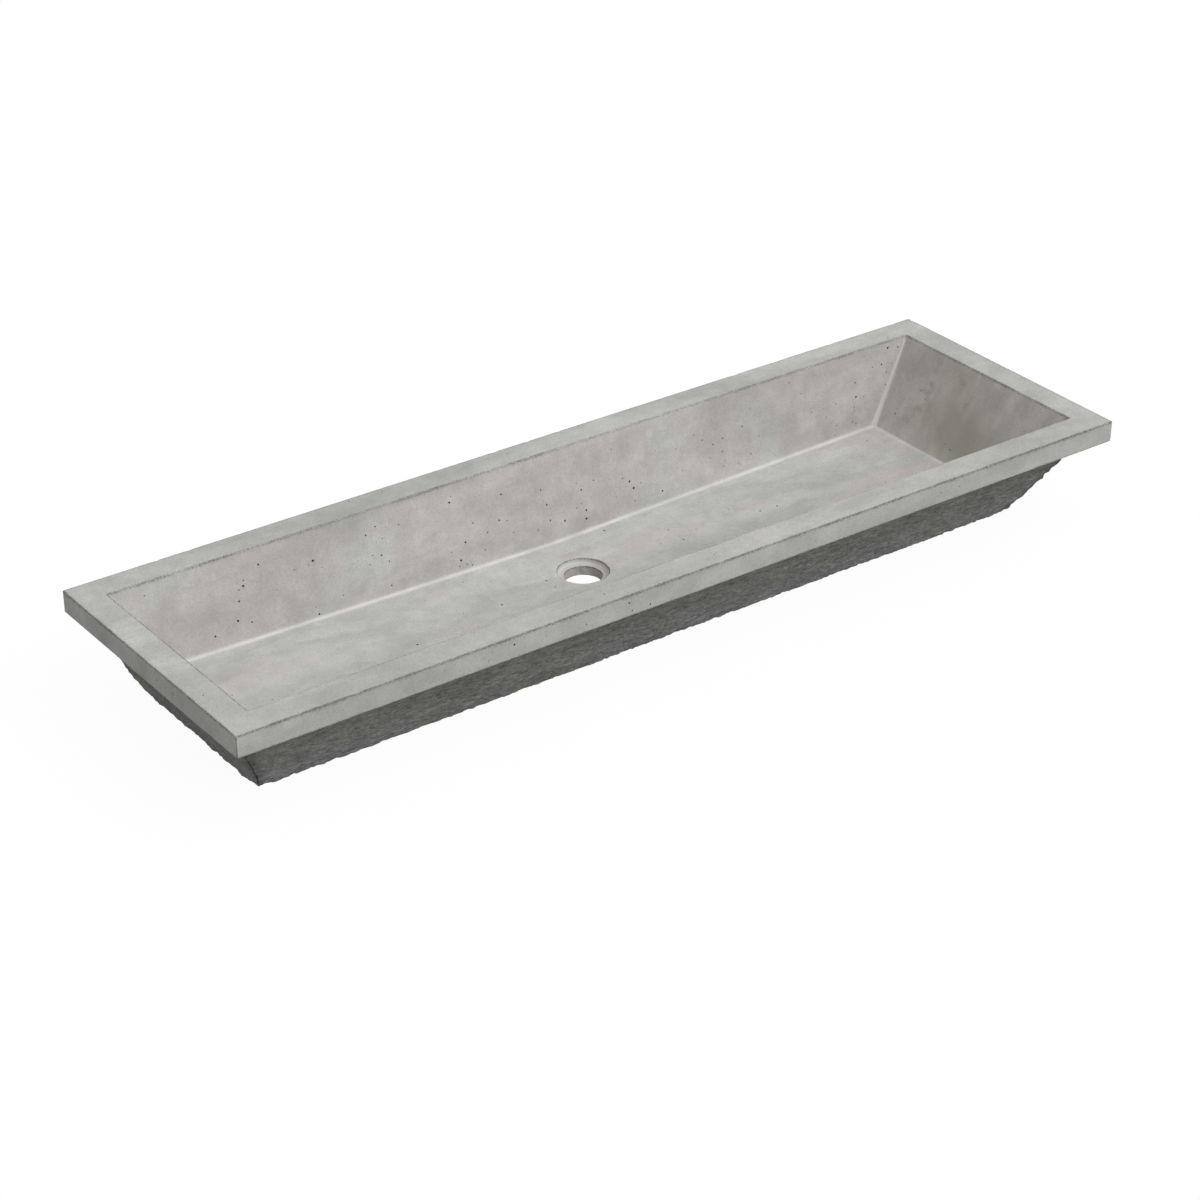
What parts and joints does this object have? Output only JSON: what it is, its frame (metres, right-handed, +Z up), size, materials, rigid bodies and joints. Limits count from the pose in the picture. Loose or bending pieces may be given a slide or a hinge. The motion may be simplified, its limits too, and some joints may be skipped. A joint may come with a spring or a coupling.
{
  "type": "trough sink",
  "caption": "Long cast concrete trough sink with a flat square-edged rim, leaning walls, a floor that falls to one waste hole near the back, and a rough hand-packed outside below the rim.",
  "frame": {"origin": "middle of the rim's outline in plan, at the level of the flat underside", "axes": "+X runs along the trough to the right as seen from its front, +Y to the steep back wall, +Z up"},
  "size_m": [1.246, 0.381, 0.1395],
  "materials": {
    "face_concrete": "matte",
    "fibre_concrete": "matte",
    "glass_fibre_net": "matte",
    "bar_steel": "satin",
    "tie_wire": "matte"
  },
  "bodies": {
    "root": {"face_shell": "face_concrete", "rim_core": "fibre_concrete", "backing_front": "fibre_concrete", "backing_back": "fibre_concrete", "backing_left": "fibre_concrete", "backing_right": "fibre_concrete", "backing_floor": "fibre_concrete", "scrim_front": "glass_fibre_net", "scrim_back": "glass_fibre_net", "scrim_left": "glass_fibre_net", "scrim_right": "glass_fibre_net", "scrim_floor": "glass_fibre_net", "rim_bar_front": "bar_steel", "rim_bar_back": "bar_steel", "rim_bar_left": "bar_steel", "rim_bar_right": "bar_steel", "corner_ties": "tie_wire"}
  },
  "joints": []
}
